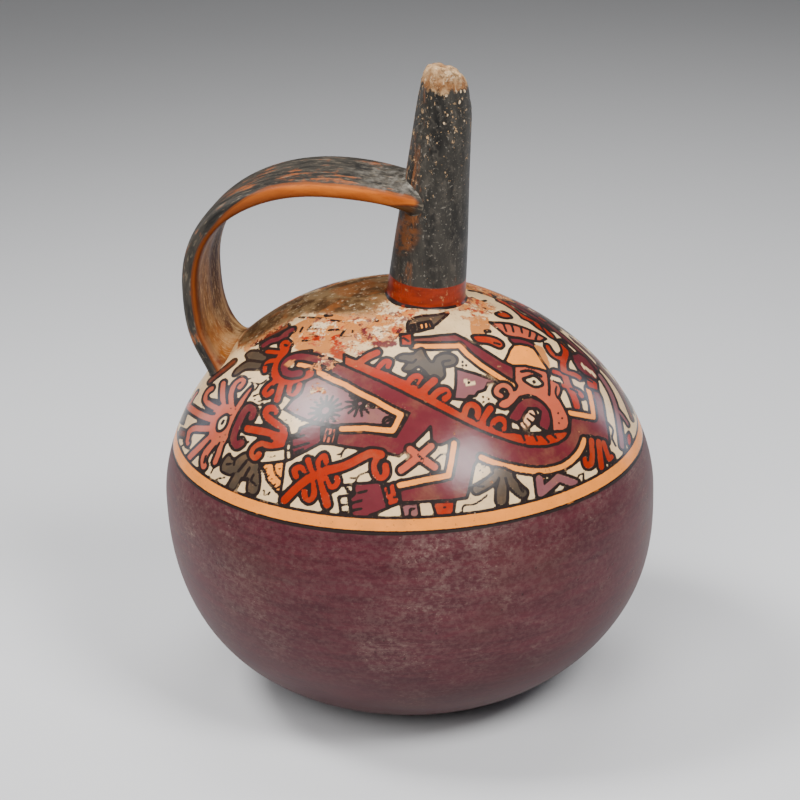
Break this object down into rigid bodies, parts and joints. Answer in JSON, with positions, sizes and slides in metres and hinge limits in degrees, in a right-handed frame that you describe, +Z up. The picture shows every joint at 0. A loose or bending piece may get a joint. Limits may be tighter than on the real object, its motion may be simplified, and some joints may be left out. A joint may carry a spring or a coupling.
{
  "type": "strap-handled jar",
  "caption": "Globular fired-clay jar with a painted shoulder, one leaning tapered spout and a flat strap handle from spout to shoulder; holds and pours liquid.",
  "frame": {"origin": "centre of the flat foot, on the surface that the jar stands on", "axes": "+Z up along the jar's axis; the handle is on the -X side and the spout leans towards +X"},
  "size_m": [0.1498, 0.1498, 0.1959],
  "materials": {
    "purple_slip": "burnished slip, satin",
    "orange_slip": "burnished slip, satin",
    "cream_slip": "painted slip, satin",
    "black_slip": "worn slip, matt",
    "red_slip": "burnished slip, satin",
    "bare_clay": "bare fired clay, matt"
  },
  "bodies": {
    "root": {"base_pad": "purple_slip", "bowl_wall": "purple_slip", "seam_coil": "orange_slip", "shoulder_dome": "cream_slip", "spout_tube": "black_slip", "spout_foot_clay": "red_slip", "strap_handle": "black_slip", "handle_spout_clay": "bare_clay", "handle_shoulder_clay": "bare_clay"}
  },
  "joints": []
}
